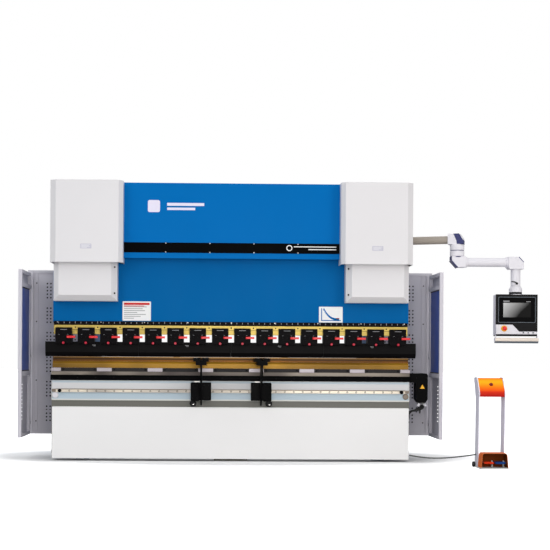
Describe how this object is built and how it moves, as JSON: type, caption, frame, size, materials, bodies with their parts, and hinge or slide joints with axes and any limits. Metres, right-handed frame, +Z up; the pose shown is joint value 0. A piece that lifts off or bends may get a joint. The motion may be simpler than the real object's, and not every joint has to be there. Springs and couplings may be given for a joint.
{
  "type": "press brake",
  "caption": "Hydraulic press brake: C-frame, sliding ram with quick-clamped punch, V die, backgauge, sheet supports, guard doors, pendant arm and pedal station.",
  "frame": {"origin": "on the floor, midway along the bed and straight below the bending line; centre of the foot pad's plane", "axes": "+X right along the bed seen from the operator, -Y towards the operator, +Z up"},
  "size_m": [4.6635, 1.95, 2.48],
  "materials": {
    "frame_blue": "satin blue machine enamel",
    "ram_blue": "semi-gloss dark blue enamel",
    "panel_blue": "semi-gloss blue enamel",
    "cover_white": "fine-textured white powder coat",
    "bed_grey": "satin pale grey enamel",
    "black_paint": "satin black paint",
    "black_oxide": "black oxide with an oily sheen",
    "gold_steel": "ground steel with a gold-coloured finish",
    "yellow_zinc": "yellow passivated zinc",
    "machine_grey": "satin grey machine paint",
    "bright_steel": "ground bright steel",
    "hard_chrome": "polished hard chrome",
    "guard_grey": "light grey powder coat",
    "blue_window": "blue-tinted polycarbonate sheet",
    "arm_white": "smooth light grey-white coat",
    "pendant_black": "black front on a light housing",
    "red_plastic": "glossy red plastic",
    "crimson_plastic": "glossy crimson plastic",
    "orange_paint": "glossy orange paint",
    "pedal_red": "red-orange painted tread",
    "pedal_blue": "blue painted tread",
    "cable_rubber": "black rubber cable sheath"
  },
  "bodies": {
    "machine": {"welded_frame": "frame_blue", "bed_beam": "bed_grey", "front_apron": "cover_white", "crowning_table": "black_paint", "crowning_drive_box": "black_paint", "lower_die": "gold_steel", "oil_tank": "frame_blue", "hydraulic_power_unit": "machine_grey", "hydraulic_cylinders": "machine_grey", "cylinder_covers": "cover_white", "front_panel": "panel_blue", "ram_guides": "machine_grey", "electrical_cabinet": "guard_grey", "guard_panels": "guard_grey", "support_rail": "bright_steel", "backgauge_rails": "machine_grey", "cables": "cable_rubber", "station_stand": "arm_white", "station_covers": "orange_paint"},
    "ram": {"ram_plate": "ram_blue", "rod_covers": "cover_white", "piston_rods": "hard_chrome", "tool_adapter": "yellow_zinc", "clamp_bodies": "black_oxide", "punch": "black_oxide"},
    "clamp_buttons": {"clamp_buttons": "crimson_plastic"},
    "door_left": {"door_left": "guard_grey", "door_window_left": "blue_window"},
    "door_right": {"door_right": "guard_grey", "door_window_right": "blue_window"},
    "cabinet_door": {"cabinet_door": "guard_grey"},
    "backgauge_beam": {"backgauge_beam": "machine_grey"},
    "backgauge_screw": {"backgauge_screw": "bright_steel"},
    "backgauge_finger_left": {"backgauge_finger_left": "bright_steel"},
    "backgauge_finger_right": {"backgauge_finger_right": "bright_steel"},
    "support_arm_left": {"support_arm_left": "machine_grey"},
    "support_arm_right": {"support_arm_right": "machine_grey"},
    "arm_upper": {"arm_upper": "arm_white"},
    "arm_lower": {"arm_lower": "arm_white"},
    "pendant": {"pendant_box": "pendant_black"},
    "pendant_estop": {"pendant_estop": "red_plastic"},
    "pedal_down": {"pedal_down": "pedal_red"},
    "pedal_up": {"pedal_up": "pedal_blue"},
    "station_estop": {"station_estop": "red_plastic"},
    "clamp_lever_01": {"clamp_lever_01": "red_plastic"},
    "clamp_lever_02": {"clamp_lever_02": "red_plastic"},
    "clamp_lever_03": {"clamp_lever_03": "red_plastic"},
    "clamp_lever_04": {"clamp_lever_04": "red_plastic"},
    "clamp_lever_05": {"clamp_lever_05": "red_plastic"},
    "clamp_lever_06": {"clamp_lever_06": "red_plastic"},
    "clamp_lever_07": {"clamp_lever_07": "red_plastic"},
    "clamp_lever_08": {"clamp_lever_08": "red_plastic"},
    "clamp_lever_09": {"clamp_lever_09": "red_plastic"},
    "clamp_lever_10": {"clamp_lever_10": "red_plastic"},
    "clamp_lever_11": {"clamp_lever_11": "red_plastic"},
    "clamp_lever_12": {"clamp_lever_12": "red_plastic"},
    "clamp_lever_13": {"clamp_lever_13": "red_plastic"},
    "clamp_lever_14": {"clamp_lever_14": "red_plastic"},
    "clamp_lever_15": {"clamp_lever_15": "red_plastic"},
    "clamp_lever_16": {"clamp_lever_16": "red_plastic"}
  },
  "joints": [
    {"name": "ram_stroke", "type": "slide", "parent": "machine", "child": "ram", "axis": [0, 0, 1], "range_m": [-0.006, 0.18]},
    {"name": "backgauge_x", "type": "slide", "parent": "machine", "child": "backgauge_beam", "axis": [0, 1, 0], "range_m": [-0.17, 0.33]},
    {"name": "backgauge_screw_turn", "type": "hinge", "parent": "machine", "child": "backgauge_screw", "pos_m": [0, 0.5, 0.68], "axis": [0, 1, 0], "range_deg": [-3200, 6000]},
    {"name": "gauge_finger_left_slide", "type": "slide", "parent": "backgauge_beam", "child": "backgauge_finger_left", "axis": [1, 0, 0], "range_m": [-0.55, 0.35]},
    {"name": "gauge_finger_right_slide", "type": "slide", "parent": "backgauge_beam", "child": "backgauge_finger_right", "axis": [1, 0, 0], "range_m": [-0.35, 0.55]},
    {"name": "arm_upper_swing", "type": "hinge", "parent": "machine", "child": "arm_upper", "pos_m": [1.48, 0.16, 2.001], "axis": [0, 0, 1], "range_deg": [-10, 40]},
    {"name": "arm_lower_swing", "type": "hinge", "parent": "arm_upper", "child": "arm_lower", "pos_m": [2.035, -0.04, 1.88], "axis": [0, 0, -1], "range_deg": [-30, 90]},
    {"name": "pendant_turn", "type": "hinge", "parent": "arm_lower", "child": "pendant", "pos_m": [2.567, -0.04, 1.57], "axis": [0, 0, 1], "range_deg": [-100, 100]},
    {"name": "pendant_estop_press", "type": "slide", "parent": "pendant", "child": "pendant_estop", "axis": [0, 1, 0], "range_m": [0, 0.006]},
    {"name": "door_left_swing", "type": "hinge", "parent": "machine", "child": "door_left", "pos_m": [-1.88, 0.415, 0.9], "axis": [0, 0, -1], "range_deg": [0, 100]},
    {"name": "door_right_swing", "type": "hinge", "parent": "machine", "child": "door_right", "pos_m": [1.88, 0.415, 0.9], "axis": [0, 0, 1], "range_deg": [0, 100]},
    {"name": "cabinet_door_swing", "type": "hinge", "parent": "machine", "child": "cabinet_door", "pos_m": [1.738, 1.014, 1.15], "axis": [0, 0, 1], "range_deg": [0, 110]},
    {"name": "front_support_left_slide", "type": "slide", "parent": "machine", "child": "support_arm_left", "axis": [1, 0, 0], "range_m": [-1.15, 0.1]},
    {"name": "front_support_right_slide", "type": "slide", "parent": "machine", "child": "support_arm_right", "axis": [1, 0, 0], "range_m": [-0.1, 1.15]},
    {"name": "pedal_down_press", "type": "hinge", "parent": "machine", "child": "pedal_down", "pos_m": [2.16, -0.69, 0.052], "axis": [1, 0, 0], "range_deg": [0, 12]},
    {"name": "pedal_up_press", "type": "hinge", "parent": "machine", "child": "pedal_up", "pos_m": [2.256, -0.69, 0.052], "axis": [1, 0, 0], "range_deg": [0, 12]},
    {"name": "station_estop_press", "type": "slide", "parent": "machine", "child": "station_estop", "axis": [0, 0.7857, -0.6186], "range_m": [0, 0.005]},
    {"name": "clamp_button_press", "type": "slide", "parent": "ram", "child": "clamp_buttons", "axis": [0, 1, 0], "range_m": [0, 0.005]},
    {"name": "tool_clamp_lever_01", "type": "hinge", "parent": "ram", "child": "clamp_lever_01", "pos_m": [-1.462, -0.09, 1.101], "axis": [0, 0, -1], "range_deg": [0, 110]},
    {"name": "tool_clamp_lever_02", "type": "hinge", "parent": "ram", "child": "clamp_lever_02", "pos_m": [-1.262, -0.09, 1.101], "axis": [0, 0, -1], "range_deg": [0, 110]},
    {"name": "tool_clamp_lever_03", "type": "hinge", "parent": "ram", "child": "clamp_lever_03", "pos_m": [-1.062, -0.09, 1.101], "axis": [0, 0, -1], "range_deg": [0, 110]},
    {"name": "tool_clamp_lever_04", "type": "hinge", "parent": "ram", "child": "clamp_lever_04", "pos_m": [-0.862, -0.09, 1.101], "axis": [0, 0, -1], "range_deg": [0, 110]},
    {"name": "tool_clamp_lever_05", "type": "hinge", "parent": "ram", "child": "clamp_lever_05", "pos_m": [-0.662, -0.09, 1.101], "axis": [0, 0, -1], "range_deg": [0, 110]},
    {"name": "tool_clamp_lever_06", "type": "hinge", "parent": "ram", "child": "clamp_lever_06", "pos_m": [-0.462, -0.09, 1.101], "axis": [0, 0, -1], "range_deg": [0, 110]},
    {"name": "tool_clamp_lever_07", "type": "hinge", "parent": "ram", "child": "clamp_lever_07", "pos_m": [-0.262, -0.09, 1.101], "axis": [0, 0, -1], "range_deg": [0, 110]},
    {"name": "tool_clamp_lever_08", "type": "hinge", "parent": "ram", "child": "clamp_lever_08", "pos_m": [-0.062, -0.09, 1.101], "axis": [0, 0, -1], "range_deg": [0, 110]},
    {"name": "tool_clamp_lever_09", "type": "hinge", "parent": "ram", "child": "clamp_lever_09", "pos_m": [0.138, -0.09, 1.101], "axis": [0, 0, -1], "range_deg": [0, 110]},
    {"name": "tool_clamp_lever_10", "type": "hinge", "parent": "ram", "child": "clamp_lever_10", "pos_m": [0.338, -0.09, 1.101], "axis": [0, 0, -1], "range_deg": [0, 110]},
    {"name": "tool_clamp_lever_11", "type": "hinge", "parent": "ram", "child": "clamp_lever_11", "pos_m": [0.538, -0.09, 1.101], "axis": [0, 0, -1], "range_deg": [0, 110]},
    {"name": "tool_clamp_lever_12", "type": "hinge", "parent": "ram", "child": "clamp_lever_12", "pos_m": [0.738, -0.09, 1.101], "axis": [0, 0, -1], "range_deg": [0, 110]},
    {"name": "tool_clamp_lever_13", "type": "hinge", "parent": "ram", "child": "clamp_lever_13", "pos_m": [0.938, -0.09, 1.101], "axis": [0, 0, -1], "range_deg": [0, 110]},
    {"name": "tool_clamp_lever_14", "type": "hinge", "parent": "ram", "child": "clamp_lever_14", "pos_m": [1.138, -0.09, 1.101], "axis": [0, 0, -1], "range_deg": [0, 110]},
    {"name": "tool_clamp_lever_15", "type": "hinge", "parent": "ram", "child": "clamp_lever_15", "pos_m": [1.338, -0.09, 1.101], "axis": [0, 0, -1], "range_deg": [0, 110]},
    {"name": "tool_clamp_lever_16", "type": "hinge", "parent": "ram", "child": "clamp_lever_16", "pos_m": [1.538, -0.09, 1.101], "axis": [0, 0, -1], "range_deg": [0, 110]}
  ],
  "couplings": [
    {"joint": "backgauge_screw_turn", "follows": "backgauge_x", "rad_per_m": 314.16}
  ]
}
